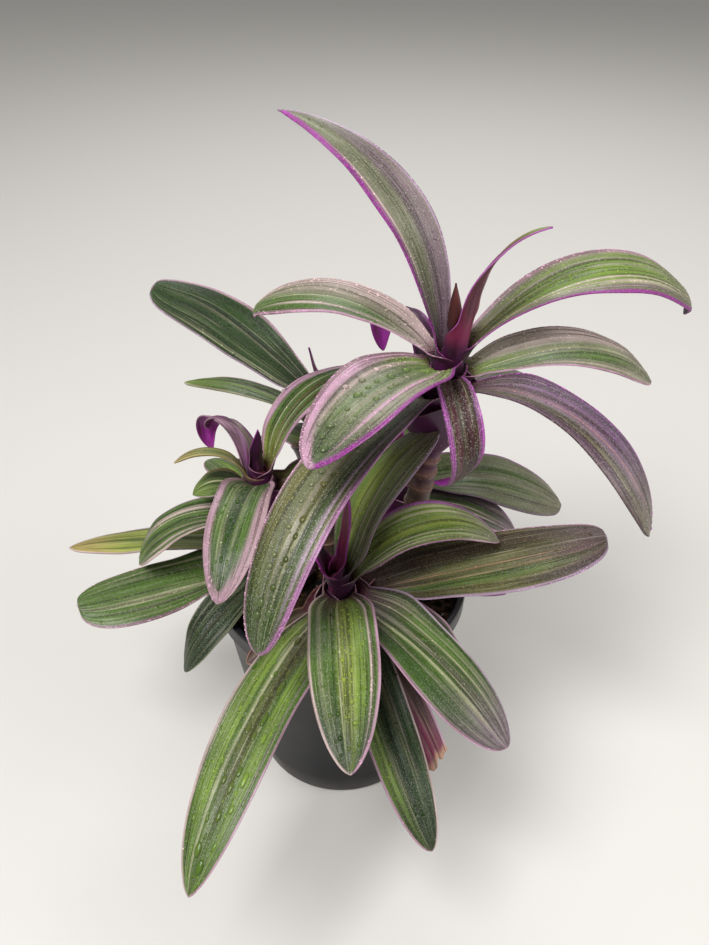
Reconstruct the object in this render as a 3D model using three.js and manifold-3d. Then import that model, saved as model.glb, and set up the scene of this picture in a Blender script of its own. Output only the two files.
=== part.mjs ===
// A potted tradescantia: a black nursery pot filled with soil, five leafy shoots and their strap leaves.
// Millimetres, +Z up. The origin is under the middle of the pot, on the surface it stands on.
// The front of the plant looks along -Y, and an azimuth of 0 degrees is +X, of 90 degrees +Y.

import * as THREE from 'three';
import { mergeVertices } from 'three/addons/utils/BufferGeometryUtils.js';
import Module from 'manifold-3d';

const wasm = await Module();
wasm.setup();

const gap = 0.3;
const upward = new THREE.Vector3(0, 0, 1);

const pot = {
  height: 104,
  rimRadius: 57,
  rimBand: 9,
  rimStep: 1.6,
  rimRounding: 0.8,
  heelRounding: 1.5,
  baseRadius: 40,
  wall: 1.3,
  floor: 1.8,
  segments: 40,
  drainCount: 6,
  drainRadius: 3.5,
  drainCircle: 30,
  drainSides: 10,
};

const soil = {
  top: 90,
  crown: 2.5,
  bumps: 1.2,
  rings: 4,
  seed: 11,
  shoulder: 1,
};

const weldDistance = 1e-4;

const stem = {
  tipRadius: 2.2,
  widening: 0.22,
  bareRadius: 5.4,
  buried: 22,
  belowLowestLeaf: 2,
  roundedTip: 0.5,
  taperLength: 9,
  sides: 10,
};

const blade = {
  rings: 9,
  shortRings: 6,
  across: 4,
  midribThickness: 1.0,
  marginThickness: 0.6,
  sheathLength: 9,
  sheathPitch: 80,
  sheathOpening: 1.6,
  sheathWidth: 0.42,
  widestFrom: 0.3,
  curlFrom: 0.25,
  curlTo: 0.9,
  droopPower: 1.4,
  rollFrom: 0.05,
  rollTo: 0.6,
  steps: 60,
  taperFrom: 0.5,
  taperPower: 2.4,
  tipPower: 0.65,
  tipWidth: 1.4,
  slantFrom: 0.55,
  channelFold: 0.5,
  curlFold: -0.28,
  largestFold: 1.15,
  smallestFold: 0.001,
  shortLength: 60,
};

const finishes = {
  potPlastic: { color: 0x14161a, roughness: 0.45, metalness: 0 },
  soil: { color: 0x2c2119, roughness: 0.95, metalness: 0 },
  stem: { color: 0x6f7a45, roughness: 0.6, metalness: 0 },
  green: { color: 0x56763a, roughness: 0.4, metalness: 0 },
  striped: { color: 0x8a9a62, roughness: 0.4, metalness: 0 },
  grey: { color: 0x8d927c, roughness: 0.4, metalness: 0 },
  young: { color: 0x7c2450, roughness: 0.4, metalness: 0 },
  old: { color: 0x7a6146, roughness: 0.8, metalness: 0 },
};

// Each shoot: where its stem leaves the soil, its crown, and its leaves from the youngest down.
// A leaf sits `drop` mm below the crown, rises at `rise` degrees and then droops by `droop` degrees.
// Where a leaf differs from the usual blade, `widest` and `taper` are the shares of its length where it
// is widest and starts to narrow, a small `tip` makes a blunt end, and `slant` carries the tip to one side.
const shoots = [
  {
    name: 'tall',
    foot: [24, -2],
    crown: [44, -8],
    height: 137,
    leaves: [
      {
        drop: 0, azimuth: -110, rise: 84, droop: 4, length: 33, width: 7,
        taper: 0.2, tip: 1.0, kind: 'young',
      },
      {
        drop: 6, azimuth: -35, rise: 84, droop: 84, bend: 3, sweep: 45, length: 68,
        width: 13, taper: 0.2, tip: 0.8, kind: 'young',
      },
      { drop: 15, azimuth: -125, rise: 23, droop: 52, bend: 1.6, length: 90, width: 31, kind: 'grey' },
      {
        drop: 11, azimuth: 150, rise: 89, droop: 84, bend: 1.25, length: 121,
        width: 21, roll: -20, taper: 0.3, tip: 0.85, kind: 'grey',
      },
      {
        drop: 9, azimuth: 18, rise: 46.5, droop: 104, bend: 1.4, length: 122,
        width: 24, roll: 20, widest: 0.5, tip: 0.5, kind: 'green',
      },
      {
        drop: 17, azimuth: -77, rise: 32, droop: 140, bend: 1.2, sweep: -95,
        length: 58, width: 11.5, kind: 'grey',
      },
      {
        drop: 13, azimuth: 170, rise: 45, droop: 90, bend: 1.7, length: 87,
        width: 22, roll: -10, kind: 'grey',
      },
      {
        drop: 20, azimuth: 10, rise: 19, droop: 74, bend: 1.9, length: 90,
        width: 24, roll: 14, tip: 0.5, kind: 'green',
      },
      {
        drop: 30, azimuth: 117, rise: 90, droop: 215, bend: 1.35, length: 80,
        width: 14, roll: 30, kind: 'young',
      },
      {
        drop: 23, azimuth: -42, rise: 33, droop: 116, bend: 1.4, sweep: 6,
        length: 110, width: 21.5, kind: 'grey',
      },
      {
        drop: 26, azimuth: -131, rise: 4, droop: 75, bend: 1.6, sweep: 20,
        length: 132, width: 25, tip: 0.5, kind: 'grey',
      },
      { drop: 37, azimuth: 80, rise: -5, droop: 50, length: 90, width: 24, kind: 'green' },
      { drop: 38, azimuth: -165, rise: 10, droop: 50, length: 26, width: 15, kind: 'old' },
      { drop: 33, azimuth: 47, rise: 8, droop: 72, length: 72, width: 25, kind: 'grey' },
    ],
  },
  {
    name: 'front',
    foot: [3, -22],
    crown: [-1, -40],
    height: 49,
    leaves: [
      {
        drop: 0, azimuth: 30, rise: 87, droop: 4, length: 40, width: 8, taper: 0.2,
        tip: 0.8, kind: 'young',
      },
      {
        drop: 3, azimuth: 165, rise: 84, droop: 20, length: 24, width: 12,
        taper: 0.2, tip: 0.8, kind: 'young',
      },
      {
        drop: 11, azimuth: 10, rise: 69, droop: 120, bend: 1.2, length: 79,
        width: 20, roll: 18, kind: 'striped',
      },
      {
        drop: 6, azimuth: 29, rise: 80, droop: 62, bend: 1.6, length: 77,
        width: 25, tip: 0.5, kind: 'striped',
      },
      {
        drop: 14, azimuth: -87, rise: 35, droop: 70, bend: 1.2, length: 98,
        width: 26.5, kind: 'striped',
      },
      {
        drop: 18, azimuth: -46, rise: 15, droop: 58, bend: 1.2, length: 94,
        width: 29, tip: 0.5, kind: 'striped',
      },
      {
        drop: 24, azimuth: 4, rise: 14, droop: 2, length: 108, width: 30, roll: 18,
        tip: 0.35, kind: 'green',
      },
      {
        drop: 22, azimuth: -114, rise: 5, droop: 50, bend: 1.5, length: 131,
        width: 25.5, kind: 'striped',
      },
      { drop: 29, azimuth: -22, rise: 6, droop: 56, length: 55, width: 18, kind: 'green' },
      { drop: 28, azimuth: 60, rise: 10, droop: 40, length: 28, width: 18, kind: 'green' },
      {
        drop: 30, azimuth: -73, rise: -5, droop: 45, sweep: 12, length: 103,
        width: 21, tip: 0.55, kind: 'striped',
      },
      { drop: 33, azimuth: 6, rise: 14, droop: 36, length: 66, width: 9, kind: 'green' },
      { drop: 35, azimuth: -60, rise: -12, droop: 30, length: 76, width: 18, tip: 0.1, kind: 'old' },
      { drop: 34, azimuth: -145, rise: 5, droop: 30, length: 42, width: 18, kind: 'old' },
    ],
  },
  {
    name: 'left',
    foot: [-24, 8],
    crown: [-36, 12],
    height: 66,
    leaves: [
      {
        drop: 0, azimuth: -60, rise: 84, droop: 4, length: 22, width: 6,
        taper: 0.2, tip: 0.8, kind: 'young',
      },
      {
        drop: 6, azimuth: 175, rise: 88, droop: 210, bend: 4, length: 46,
        width: 11, roll: 30, kind: 'young',
      },
      { drop: 9, azimuth: 21, rise: 85, droop: 100, length: 76, width: 23, kind: 'striped' },
      {
        drop: 12, azimuth: -99, rise: 48, droop: 104, bend: 1.1, length: 82,
        width: 23.5, kind: 'striped',
      },
      {
        drop: 14, azimuth: 135, rise: 88, droop: 225, bend: 1.7, length: 66,
        width: 13, roll: 30, kind: 'young',
      },
      { drop: 10, azimuth: 201, rise: 84, droop: 116, length: 46, width: 7, kind: 'striped' },
      { drop: 19, azimuth: 10, rise: 34, droop: 50, length: 46, width: 18, kind: 'striped' },
      { drop: 19, azimuth: 200, rise: 78, droop: 118, length: 34, width: 20, kind: 'green' },
      {
        drop: 30, azimuth: 196, rise: 27, droop: 106, bend: 1.6, length: 66,
        width: 23, kind: 'striped',
      },
      { drop: 28, azimuth: 125, rise: 10, droop: 40, length: 55, width: 22, kind: 'green' },
      { drop: 45, azimuth: 182, rise: 4, droop: 12, length: 86, width: 18, kind: 'green' },
      {
        drop: 55, azimuth: 200, rise: 2, droop: 5, length: 82, width: 29,
        roll: -14, tip: 0.3, kind: 'green',
      },
      {
        drop: 54, azimuth: 240, rise: 7, droop: 84, bend: 1.9, sweep: -34,
        length: 66, width: 20, kind: 'green',
      },
    ],
  },
  {
    name: 'back',
    foot: [-8, 30],
    crown: [-6, 42],
    height: 86,
    leaves: [
      {
        drop: 0, azimuth: 180, rise: 80, droop: 4, length: 22, width: 5,
        taper: 0.2, tip: 0.8, kind: 'young',
      },
      { drop: 8, azimuth: 40, rise: 8, droop: 40, length: 66, width: 22, kind: 'green' },
      {
        drop: 10, azimuth: 176, rise: 42, droop: 2, bend: 2.2, length: 91,
        width: 29, roll: -22, tip: 0.35, slant: -0.4, kind: 'green',
      },
      { drop: 21, azimuth: 165, rise: 33, droop: 52, length: 68, width: 12.5, kind: 'green' },
      { drop: 30, azimuth: 100, rise: 0, droop: 40, length: 90, width: 24, kind: 'green' },
      { drop: 40, azimuth: 48, rise: -5, droop: 40, length: 85, width: 22, kind: 'green' },
      { drop: 40, azimuth: 125, rise: -10, droop: 35, length: 62, width: 22, kind: 'green' },
    ],
  },
  {
    name: 'right',
    foot: [22, 20],
    crown: [24, 25],
    height: 50,
    leaves: [
      {
        drop: 0, azimuth: 60, rise: 86, droop: 4, length: 32, width: 6, taper: 0.2,
        tip: 0.8, kind: 'young',
      },
      {
        drop: 10, azimuth: 8, rise: 12, droop: 58, bend: 1.3, length: 87,
        width: 28, roll: 22, tip: 0.45, kind: 'green',
      },
      {
        drop: 16, azimuth: -14, rise: 16, droop: 66, bend: 1.6, length: 60,
        width: 22, kind: 'striped',
      },
      { drop: 22, azimuth: 65, rise: 5, droop: 50, length: 80, width: 22, kind: 'green' },
      { drop: 15, azimuth: 96, rise: 48, droop: 96, length: 88, width: 24, kind: 'striped' },
    ],
  },
];

function smooth(from, to, value) {
  return THREE.MathUtils.smoothstep(value, from, to);
}

// A seeded draw between 0 and 1, so that the soil is the same each time.
function makeDraw(seed) {
  let state = seed;
  return () => {
    state = (state * 16807) % 2147483647;
    return state / 2147483647;
  };
}

function toManifold(geometry) {
  const bare = geometry.clone();
  bare.deleteAttribute('normal');
  bare.deleteAttribute('uv');
  const merged = mergeVertices(bare, weldDistance);
  const vertProperties = new Float32Array(merged.attributes.position.array);
  const triVerts = new Uint32Array(merged.index.array);
  return new wasm.Manifold(new wasm.Mesh({ numProp: 3, vertProperties, triVerts }));
}

function toGeometry(solid) {
  const mesh = solid.getMesh();
  const geometry = new THREE.BufferGeometry();
  geometry.setAttribute('position', new THREE.BufferAttribute(new Float32Array(mesh.vertProperties), 3));
  geometry.setIndex(new THREE.BufferAttribute(new Uint32Array(mesh.triVerts), 1));
  return geometry;
}

function makeMesh(name, geometry, finish) {
  const mesh = new THREE.Mesh(geometry, new THREE.MeshStandardMaterial(finish));
  mesh.name = name;
  return mesh;
}

// A lathe turns about +Y, so it is laid up to turn about +Z.
function latheUpright(points, segments) {
  const profile = points.map(([radius, height]) => new THREE.Vector2(radius, height));
  const geometry = new THREE.LatheGeometry(profile, segments);
  geometry.rotateX(Math.PI / 2);
  return geometry;
}

function potRadiusAt(height) {
  return THREE.MathUtils.lerp(pot.baseRadius, pot.rimRadius - pot.rimStep, height / pot.height);
}

function makePot() {
  const bandFoot = pot.height - pot.rimBand;
  const profile = [
    [0, 0],
    [pot.baseRadius - pot.heelRounding, 0],
    [pot.baseRadius, pot.heelRounding],
    [potRadiusAt(bandFoot), bandFoot],
    [pot.rimRadius - pot.rimRounding / 2, bandFoot + pot.rimRounding],
    [pot.rimRadius, pot.height - pot.rimRounding],
    [pot.rimRadius - pot.rimRounding, pot.height],
    [pot.rimRadius - pot.rimStep - pot.wall + pot.rimRounding, pot.height],
    [potRadiusAt(pot.height) - pot.wall, pot.height - pot.rimRounding],
    [potRadiusAt(pot.floor) - pot.wall, pot.floor],
    [0, pot.floor],
  ];
  let solid = toManifold(latheUpright(profile, pot.segments));
  for (let index = 0; index < pot.drainCount; index += 1) {
    const angle = (index / pot.drainCount) * 2 * Math.PI;
    const drain = new THREE.CylinderGeometry(pot.drainRadius, pot.drainRadius, pot.floor * 3, pot.drainSides);
    drain.rotateX(Math.PI / 2);
    drain.translate(pot.drainCircle * Math.cos(angle), pot.drainCircle * Math.sin(angle), pot.floor / 2);
    solid = solid.subtract(toManifold(drain));
  }
  return makeMesh('pot', toGeometry(solid), finishes.potPlastic);
}

function stemLine(shoot) {
  const foot = new THREE.Vector3(shoot.foot[0], shoot.foot[1], soil.top);
  const crown = new THREE.Vector3(shoot.crown[0], shoot.crown[1], soil.top + shoot.height);
  const direction = crown.clone().sub(foot).normalize();
  return { foot, crown, direction, length: crown.distanceTo(foot) };
}

function stemRadiusAt(drop) {
  return stem.tipRadius + stem.widening * drop;
}

// The stem stands along +Z from its buried end, and is then turned to lean as the shoot does.
function makeStemGeometry(shoot, clearance) {
  const line = stemLine(shoot);
  const lowest = Math.max(...shoot.leaves.map((leaf) => leaf.drop)) + stem.belowLowestLeaf;
  const total = line.length + stem.buried;
  const bare = stem.bareRadius + clearance;
  const profile = [
    [0, -clearance],
    [bare, -clearance],
    [bare, total - lowest - stem.taperLength],
    [stemRadiusAt(lowest), total - lowest],
    [stem.tipRadius, total - stem.roundedTip],
    [0, total],
  ];
  const geometry = latheUpright(profile, stem.sides);
  geometry.applyQuaternion(new THREE.Quaternion().setFromUnitVectors(upward, line.direction));
  const buriedEnd = line.foot.clone().addScaledVector(line.direction, -stem.buried);
  geometry.translate(buriedEnd.x, buriedEnd.y, buriedEnd.z);
  return geometry;
}

function makeSoil() {
  const draw = makeDraw(soil.seed);
  const floor = pot.floor + gap;
  const topRadius = potRadiusAt(soil.top) - pot.wall - gap;
  const profile = [
    [0, floor],
    [potRadiusAt(floor) - pot.wall - gap, floor],
    [topRadius, soil.top - soil.shoulder],
  ];
  for (let ring = 1; ring <= soil.rings; ring += 1) {
    const share = 1 - ring / (soil.rings + 1);
    profile.push([topRadius * share, soil.top + soil.crown * (1 - share * share)]);
  }
  profile.push([0, soil.top + soil.crown]);
  const geometry = latheUpright(profile, pot.segments);
  geometry.deleteAttribute('normal');
  geometry.deleteAttribute('uv');
  const merged = mergeVertices(geometry, weldDistance);
  const position = merged.attributes.position;
  for (let index = 0; index < position.count; index += 1) {
    if (position.getZ(index) > soil.top - soil.shoulder / 2) {
      position.setZ(index, position.getZ(index) + soil.bumps * (draw() - 0.5));
    }
  }
  let solid = toManifold(merged);
  for (const shoot of shoots) {
    solid = solid.subtract(toManifold(makeStemGeometry(shoot, gap)));
  }
  return makeMesh('soil', toGeometry(solid), finishes.soil);
}

// The width of a blade at a share of its length: a narrow sheath, a long broad middle and a tapered tip.
function widthAt(leaf, share) {
  const opening = smooth(0, leaf.widest ?? blade.widestFrom, share);
  const swell = THREE.MathUtils.lerp(blade.sheathWidth, 1, opening);
  const taperFrom = leaf.taper ?? blade.taperFrom;
  const towardsTip = Math.max(0, (share - taperFrom) / (1 - taperFrom));
  const taper = Math.pow(1 - Math.pow(towardsTip, blade.taperPower), leaf.tip ?? blade.tipPower);
  return Math.max(blade.tipWidth, leaf.width * swell * taper);
}

// How far a blade folds up to a channel (above 0) or curls its margins down (below 0), as a half angle.
function foldAt(leaf, share, sheathRadius) {
  const sheathFold = Math.min(blade.largestFold, widthAt(leaf, 0) / (2 * sheathRadius));
  const curled = smooth(blade.curlFrom, blade.curlTo, share);
  const open = THREE.MathUtils.lerp(blade.channelFold, blade.curlFold, curled);
  return THREE.MathUtils.lerp(sheathFold, open, smooth(0, blade.widestFrom, share));
}

// The middle line of a blade, with the directions along it, across it and out of its upper side.
function bladeFrames(shoot, leaf, rings) {
  const line = stemLine(shoot);
  const sheathShare = blade.sheathLength / leaf.length;
  const radius = stemRadiusAt(leaf.drop) + gap + blade.midribThickness / 2;
  const base = line.crown.clone().addScaledVector(line.direction, -leaf.drop);
  const steps = blade.steps;
  const frames = [];
  let point = null;
  for (let step = 0; step <= steps; step += 1) {
    const share = step / steps;
    const up = line.direction.clone().lerp(upward, smooth(0, sheathShare, share)).normalize();
    const turn = THREE.MathUtils.degToRad(leaf.azimuth + (leaf.sweep ?? 0) * share * share);
    const out = new THREE.Vector3(Math.cos(turn), Math.sin(turn), 0);
    out.addScaledVector(up, -out.dot(up)).normalize();
    const opened = smooth(0, sheathShare * blade.sheathOpening, share);
    const rise = THREE.MathUtils.lerp(Math.max(blade.sheathPitch, leaf.rise), leaf.rise, opened);
    const drooped = leaf.droop * Math.pow(share, leaf.bend ?? blade.droopPower);
    const pitch = THREE.MathUtils.degToRad(rise - drooped);
    const along = out.clone().multiplyScalar(Math.cos(pitch)).addScaledVector(up, Math.sin(pitch));
    const normal = up.clone().multiplyScalar(Math.cos(pitch)).addScaledVector(out, -Math.sin(pitch));
    const roll = THREE.MathUtils.degToRad(leaf.roll ?? 0) * smooth(blade.rollFrom, blade.rollTo, share);
    normal.applyAxisAngle(along, roll);
    const across = along.clone().cross(normal);
    if (point === null) {
      point = base.clone().addScaledVector(out, radius);
    } else {
      point = point.clone().addScaledVector(along, leaf.length / steps);
    }
    const aside = ((leaf.slant ?? 0) * leaf.width) / 2 * smooth(blade.slantFrom, 1, share) ** 2;
    const middle = point.clone().addScaledVector(across, aside);
    frames.push({ share, point: middle, along, normal, across, radius });
  }
  return Array.from({ length: rings + 1 }, (_, ring) => frames[Math.round((ring * steps) / rings)]);
}

// One closed blade: an upper and a lower skin, both split into triangles alike, with thin margins.
function makeBladeGeometry(shoot, leaf) {
  const rings = leaf.length < blade.shortLength ? blade.shortRings : blade.rings;
  const frames = bladeFrames(shoot, leaf, rings);
  const positions = [];
  for (const frame of frames) {
    const half = widthAt(leaf, frame.share) / 2;
    const fold = foldAt(leaf, frame.share, frame.radius) || blade.smallestFold;
    for (const side of [1, -1]) {
      for (let place = 0; place <= blade.across; place += 1) {
        const offset = (2 * place) / blade.across - 1;
        const angle = offset * fold;
        const thickness = THREE.MathUtils.lerp(blade.midribThickness, blade.marginThickness, offset * offset);
        const skin = frame.normal.clone().multiplyScalar(Math.cos(angle));
        skin.addScaledVector(frame.across, -Math.sin(angle));
        const vertex = frame.point.clone();
        vertex.addScaledVector(frame.across, (half / fold) * Math.sin(angle));
        vertex.addScaledVector(frame.normal, (half / fold) * (1 - Math.cos(angle)));
        vertex.addScaledVector(skin, (side * thickness) / 2);
        positions.push(vertex.x, vertex.y, vertex.z);
      }
    }
  }
  const count = blade.across + 1;
  const upper = (ring, place) => ring * 2 * count + place;
  const lower = (ring, place) => ring * 2 * count + count + place;
  const triangles = [];
  const quad = (a, b, c, d) => triangles.push(a, b, c, a, c, d);
  for (let ring = 0; ring < rings; ring += 1) {
    for (let place = 0; place < blade.across; place += 1) {
      quad(upper(ring, place), upper(ring, place + 1), upper(ring + 1, place + 1), upper(ring + 1, place));
      triangles.push(lower(ring, place), lower(ring + 1, place + 1), lower(ring, place + 1));
      triangles.push(lower(ring, place), lower(ring + 1, place), lower(ring + 1, place + 1));
    }
    const last = blade.across;
    quad(upper(ring, last), lower(ring, last), lower(ring + 1, last), upper(ring + 1, last));
    quad(upper(ring, 0), upper(ring + 1, 0), lower(ring + 1, 0), lower(ring, 0));
  }
  for (let place = 0; place < blade.across; place += 1) {
    quad(upper(0, place), lower(0, place), lower(0, place + 1), upper(0, place + 1));
    quad(upper(rings, place), upper(rings, place + 1), lower(rings, place + 1), lower(rings, place));
  }
  const geometry = new THREE.BufferGeometry();
  geometry.setAttribute('position', new THREE.BufferAttribute(new Float32Array(positions), 3));
  geometry.setIndex(triangles);
  return geometry;
}

function makeShoot(shoot) {
  const group = new THREE.Group();
  group.add(makeMesh(`${shoot.name}_stem`, makeStemGeometry(shoot, 0), finishes.stem));
  shoot.leaves.forEach((leaf, index) => {
    const number = String(index + 1).padStart(2, '0');
    group.add(makeMesh(`${shoot.name}_leaf_${number}`, makeBladeGeometry(shoot, leaf), finishes[leaf.kind]));
  });
  return group;
}

const plant = new THREE.Group();
plant.add(makePot());
plant.add(makeSoil());
shoots.forEach((shoot) => plant.add(makeShoot(shoot)));

export default plant;
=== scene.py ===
# A potted tradescantia: five leafy shoots with striped strap leaves, wet with spray, in a black pot.
import math
from functools import partial
import bpy
import numpy as np
from mathutils import Matrix, Quaternion, Vector


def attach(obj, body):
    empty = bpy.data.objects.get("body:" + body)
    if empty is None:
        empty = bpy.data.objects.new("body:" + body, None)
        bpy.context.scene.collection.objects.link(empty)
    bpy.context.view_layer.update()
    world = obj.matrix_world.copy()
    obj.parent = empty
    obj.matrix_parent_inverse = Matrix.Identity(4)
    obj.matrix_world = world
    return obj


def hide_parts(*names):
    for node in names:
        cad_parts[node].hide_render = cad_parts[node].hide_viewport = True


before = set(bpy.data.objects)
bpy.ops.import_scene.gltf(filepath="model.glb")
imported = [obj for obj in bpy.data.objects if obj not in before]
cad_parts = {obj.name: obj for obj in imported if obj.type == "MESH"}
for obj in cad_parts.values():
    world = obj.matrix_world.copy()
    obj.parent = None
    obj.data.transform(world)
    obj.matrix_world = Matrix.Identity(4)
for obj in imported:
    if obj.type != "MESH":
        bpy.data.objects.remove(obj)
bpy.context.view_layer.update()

mm = 0.001
upward = Vector((0, 0, 1))
draw = np.random.default_rng(8)  # one seeded source, so that each run is the same

camera = {
    "place": (0.0064, -0.3407, 0.409),
    "tilt": 54,  # degrees up from straight down
    "lens": 38.1,
}
bpy.ops.object.camera_add(location=camera["place"], rotation=(math.radians(camera["tilt"]), 0, 0))
view = bpy.context.object
view.name = "camera"
view.data.lens = camera["lens"]
view.data.clip_start = 0.01
bpy.context.scene.camera = view


# Colours of the plant, as seen in flat daylight.
pigments = {
    "night": "#1f3014", "pine": "#2b4619", "grass": "#4f6c29", "spring": "#7d983d", "lime": "#98a54a",
    "olive": "#66653a", "sage": "#73795a", "silver": "#878270", "heath": "#7d6478", "umber": "#553a45",
    "brown": "#453226", "cream": "#c9c6a2", "blush": "#d8bcbc", "lilac": "#b597b4", "rose": "#b991a3",
    "mauve": "#ab6fa3", "wine": "#582c38", "thistle": "#77567a", "shell": "#c99ab6", "orchid": "#b560b4",
    "magenta": "#9c2a98", "plum": "#4a1242", "crimson": "#701c40", "ruby": "#862650", "rust": "#6a2e2c",
    "straw": "#b8a063", "tan": "#b98c74",
}


def linear(hexColour):
    parts = [int(hexColour[place:place + 2], 16) / 255 for place in (1, 3, 5)]
    return [part / 12.92 if part <= 0.04045 else ((part + 0.055) / 1.055) ** 2.4 for part in parts] + [1.0]


def pigment(name):
    return np.array(linear(pigments[name])[:3])


def smooth(low, high, value):
    share = np.clip((value - low) / (high - low), 0, 1)
    return share * share * (3 - 2 * share)


def lerp(first, second, share):
    return first + (second - first) * share


# Soft noise from 0 to 1 over a unit square of so many cells across and along.
def softNoise(across, along, cells, seed):
    grid = np.random.default_rng(seed).random((cells[0] + 2, cells[1] + 2))
    x, y = np.clip(across, 0, 1) * cells[0], np.clip(along, 0, 1) * cells[1]
    column, row = np.floor(x).astype(int), np.floor(y).astype(int)
    sideways, onward = smooth(0, 1, x - column), smooth(0, 1, y - row)
    near = lerp(grid[column, row], grid[column + 1, row], sideways)
    far = lerp(grid[column, row + 1], grid[column + 1, row + 1], sideways)
    return lerp(near, far, onward)


def deselect():
    if bpy.context.mode != "OBJECT":
        bpy.ops.object.mode_set(mode="OBJECT")
    bpy.ops.object.select_all(action="DESELECT")


def selectOnly(piece):
    deselect()
    piece.select_set(True)
    bpy.context.view_layer.objects.active = piece


def placesOf(piece):
    places = np.empty(len(piece.data.vertices) * 3)
    piece.data.vertices.foreach_get("co", places)
    return places.reshape(-1, 3)


def giveColours(piece, layerName, colours, alpha=0.0):
    layer = piece.data.color_attributes.new(layerName, "FLOAT_COLOR", "POINT")
    values = np.column_stack([colours, np.full(len(colours), alpha)]).astype(np.float32)
    layer.data.foreach_set("color", values.ravel())


# Takes a primitive's points and faces and removes the primitive.
def shapeOf(piece):
    shape = placesOf(piece), [tuple(face.vertices) for face in piece.data.polygons]
    bpy.data.objects.remove(piece)
    return shape


def finishPiece(piece, name, replaced=None):
    piece.name = name
    piece.data.name = name
    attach(piece, "root")
    if replaced:
        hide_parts(replaced)


# Materials. Each kind of node has Blender's type, the inputs in the order in which they are given, the
# output that is used, and its settings. Sockets 6 and 7 of a Mix node take colours, and 2 gives one.

nodeKinds = {
    "paint": ("Attribute", (), "Color", {"attribute_name": "bladePaint"}),
    "underPaint": ("Attribute", (), "Color", {"attribute_name": "underPaint"}),
    "bladePlace": ("Attribute", (), "Vector", {"attribute_name": "bladePlace"}),
    "objectPlace": ("TexCoord", (), "Object", {}),
    "height": ("SeparateXYZ", ("Vector",), "Z", {}),
    "stretch": ("VectorMath", (0, 1), "Vector", {"operation": "MULTIPLY"}),
    "noise": ("TexNoise", ("Vector", "Scale", "Detail", "Roughness"), "Fac", {}),
    "drops": ("TexVoronoi", ("Vector", "Scale"), "Color", {"feature": "F1"}),
    "mask": ("MapRange", ("Value", "From Min", "From Max", "To Min", "To Max"), "Result",
             {"interpolation_type": "SMOOTHSTEP"}),
    "blend": ("Mix", ("Factor", 6, 7), 2, {"data_type": "RGBA"}),
    "tint": ("Mix", ("Factor", 6, 7), 2, {"data_type": "RGBA", "blend_type": "MULTIPLY"}),
    "mix": ("Mix", ("Factor", "A", "B"), "Result", {}),
    "multiply": ("Math", (0, 1), 0, {"operation": "MULTIPLY"}),
    "plus": ("Math", (0, 1), 0, {"operation": "ADD"}),
    "minus": ("Math", (0, 1), 0, {"operation": "SUBTRACT"}),
    "bump": ("Bump", ("Height", "Strength", "Distance"), "Normal", {}),
}


def fillSockets(material, node, values):
    for socket, value in values.items():
        if isinstance(value, bpy.types.NodeSocket):
            material.node_tree.links.new(value, node.inputs[socket])
        else:
            node.inputs[socket].default_value = value


def addNode(material, kind, *values):
    family, sockets, output, settings = nodeKinds[kind]
    nodes = material.node_tree.nodes
    node = nodes.new("ShaderNode" + family)
    node.location = (len(nodes) % 8 * 220 - 1600, len(nodes) // 8 * -320 + 600)
    for name, value in settings.items():
        setattr(node, name, value)
    fillSockets(material, node, dict(zip(sockets, values)))
    return node.outputs[output]


def setShader(material, values):
    fillSockets(material, material.node_tree.nodes["Principled BSDF"], values)


def newMaterial(name, shader):
    material = bpy.data.materials.new(name)
    material.use_nodes = True
    setShader(material, shader)
    return material, partial(addNode, material)


# Gives a material its colour, its roughness and its relief, "depth" mm for a height from 0 to 1.
def finishMaterial(material, colour, roughness, height, strength, depth):
    normal = addNode(material, "bump", height, strength, depth * mm)
    setShader(material, {"Base Color": colour, "Roughness": roughness, "Normal": normal})
    return material


# Upper side of a leaf blade: a waxy, ribbed skin with fine lengthwise stripes and a mist of tiny droplets.
# Its broad stripes and margins are painted on the mesh; bladePlace gives each point's place in mm.
def makeUpperMaterial(name, fineLines, grains, sheen):
    material, add = newMaterial(name, {"IOR": 1.45, "Specular IOR Level": 0.4, "Sheen Weight": sheen,
        "Sheen Roughness": 0.35, "Sheen Tint": linear("#e9d3e4")})
    paint, place = add("paint"), add("bladePlace")
    ribs = add("noise", add("stretch", place, (1, 0.012, 1)), 0.85, 2, 0.6)  # ribs about 1.2 mm apart
    threads = add("noise", add("stretch", place, (1, 0.01, 1)), 2, 1)  # pale threads, 0.5 mm apart
    cells = add("noise", place, 2.4, 1)  # skin grain, coarser than the real cells so that it shows
    blotches = add("noise", add("stretch", place, (1, 0.4, 1)), 0.16)

    darker = add("tint", 1, paint, linear("#6f7250"))
    colour = add("blend", add("mask", ribs, 0.48, 0.4, 0, 0.65), paint, darker)
    colour = add("blend", add("mask", ribs, 0.6, 0.68, 0, fineLines * 0.4), colour, linear("#b5b08c"))
    colour = add("blend", add("mask", threads, 0.64, 0.72, 0, fineLines * 0.8), colour, linear("#c6bfa2"))
    colour = add("tint", add("mask", blotches, 0.3, 0.7, 0, 0.4), colour, linear("#8f8d72"))
    # Pale specks on the grain: partly the skin's own silvery grain and partly painted sparkle of the wet
    # skin.
    grain = add("mask", cells, 0.56, 0.7, 0, grains)
    colour = add("blend", grain, colour, linear("#dcd9cc"))

    # The mist: beads 0.2 to 0.5 mm across, more on the leaves whose paint has a high alpha.
    drops = add("drops", place, 1.15)
    size = add("multiply", add("multiply", drops, 0.2), paint.node.outputs["Alpha"])
    bead = add("mask", add("minus", size, drops.node.outputs["Distance"]), 0, 0.07)
    roughness = add("mix", grain, add("mask", blotches, 0.3, 0.7, 0.34, 0.48), 0.15)
    roughness = add("mix", bead, roughness, 0.06)
    height = add("plus", add("multiply", ribs, 0.7), add("multiply", cells, 0.12))
    height = add("plus", height, add("multiply", bead, 0.45))
    return finishMaterial(material, colour, roughness, height, 0.9, 0.45)


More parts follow.
